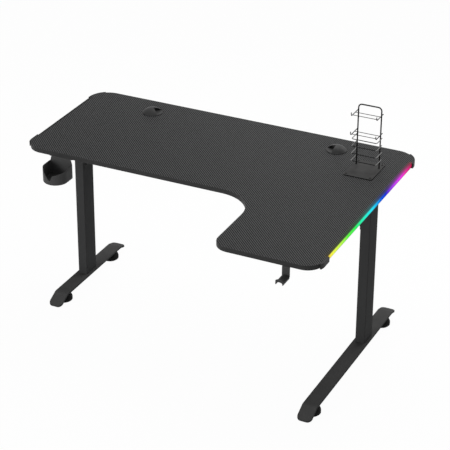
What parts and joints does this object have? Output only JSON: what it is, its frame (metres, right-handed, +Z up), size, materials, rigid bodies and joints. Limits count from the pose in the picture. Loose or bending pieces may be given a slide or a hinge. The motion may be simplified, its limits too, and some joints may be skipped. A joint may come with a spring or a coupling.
{
  "type": "gaming desk",
  "caption": "L-shaped gaming desk with a carbon-look top, T-shaped steel legs, edge light bars, turning cable hoods, cup holder, headphone hook and controller rack.",
  "frame": {"origin": "on the floor under the middle of the desk's box", "axes": "+X to the sitter's right along the back edge, +Y to the back, +Z up"},
  "size_m": [1.412, 1.055, 0.983],
  "materials": {
    "board_film": "particle board under a black carbon-look foil, satin",
    "edge_strip": "black edging strip, satin",
    "cap_plastic": "black moulded plastic, fine grain",
    "light_channel": "black anodised extrusion",
    "led_board": "white strip with light chips",
    "right_light": "milky light diffuser, lit in a rainbow run",
    "left_light": "milky light diffuser, lit in a rainbow run",
    "grommet_plastic": "black moulded plastic, satin",
    "frame_steel": "black powder coat, fine texture",
    "glide_plastic": "black rubber-like moulding",
    "plated_steel": "zinc plate",
    "accessory_plastic": "black moulded plastic, satin",
    "rack_steel": "black powder coat",
    "fastener_black": "black oxide"
  },
  "bodies": {
    "desk": {"desktop_board": "board_film", "edge_band": "edge_strip", "back_left_corner_cap": "cap_plastic", "front_left_corner_cap": "cap_plastic", "back_right_corner_cap": "cap_plastic", "front_right_corner_cap": "cap_plastic", "left_light_inlet": "cap_plastic", "right_light_inlet": "cap_plastic", "arm_plugs": "cap_plastic", "left_light_channel": "light_channel", "right_light_channel": "light_channel", "left_led_strip": "led_board", "right_led_strip": "led_board", "right_light_diffuser": "right_light", "left_light_diffuser": "left_light", "left_grommet_liner": "grommet_plastic", "right_grommet_liner": "grommet_plastic", "cross_beam": "frame_steel", "left_column": "frame_steel", "left_column_insert": "frame_steel", "left_top_plate": "frame_steel", "left_support_arm": "frame_steel", "left_foot_bar": "frame_steel", "left_beam_end_plate": "frame_steel", "right_column": "frame_steel", "right_column_insert": "frame_steel", "right_top_plate": "frame_steel", "right_support_arm": "frame_steel", "right_foot_bar": "frame_steel", "right_beam_end_plate": "frame_steel", "glide_bushes": "plated_steel", "cup_holder": "accessory_plastic", "headphone_hook": "accessory_plastic", "rack_base": "rack_steel", "rack_frame": "rack_steel", "rack_lower_cradle": "rack_steel", "rack_upper_cradle": "rack_steel", "rack_loop_1": "rack_steel", "rack_loop_2": "rack_steel", "rack_loop_3": "rack_steel", "rack_loop_4": "rack_steel", "arm_screws": "fastener_black", "cap_screws": "fastener_black", "cup_screws": "fastener_black", "hook_screws": "fastener_black", "rack_screws": "fastener_black", "beam_bolts": "fastener_black", "arm_bolts": "fastener_black", "foot_bolts": "fastener_black"},
    "front_left_glide": {"front_left_glide_pad": "glide_plastic", "front_left_glide_stud": "plated_steel"},
    "back_left_glide": {"back_left_glide_pad": "glide_plastic", "back_left_glide_stud": "plated_steel"},
    "front_right_glide": {"front_right_glide_pad": "glide_plastic", "front_right_glide_stud": "plated_steel"},
    "back_right_glide": {"back_right_glide_pad": "glide_plastic", "back_right_glide_stud": "plated_steel"},
    "left_hood": {"left_grommet_hood": "grommet_plastic"},
    "right_hood": {"right_grommet_hood": "grommet_plastic"}
  },
  "joints": [
    {"name": "front_left_level", "type": "slide", "parent": "desk", "child": "front_left_glide", "axis": [0, 0, -1], "range_m": [0, 0.008]},
    {"name": "back_left_level", "type": "slide", "parent": "desk", "child": "back_left_glide", "axis": [0, 0, -1], "range_m": [0, 0.008]},
    {"name": "front_right_level", "type": "slide", "parent": "desk", "child": "front_right_glide", "axis": [0, 0, -1], "range_m": [0, 0.008]},
    {"name": "back_right_level", "type": "slide", "parent": "desk", "child": "back_right_glide", "axis": [0, 0, -1], "range_m": [0, 0.008]},
    {"name": "left_hood_turn", "type": "hinge", "parent": "desk", "child": "left_hood", "pos_m": [-0.4, 0.4235, 0.7316], "axis": [0, 0, 1], "continuous": true},
    {"name": "right_hood_turn", "type": "hinge", "parent": "desk", "child": "right_hood", "pos_m": [0.4, 0.4235, 0.7316], "axis": [0, 0, 1], "continuous": true}
  ]
}
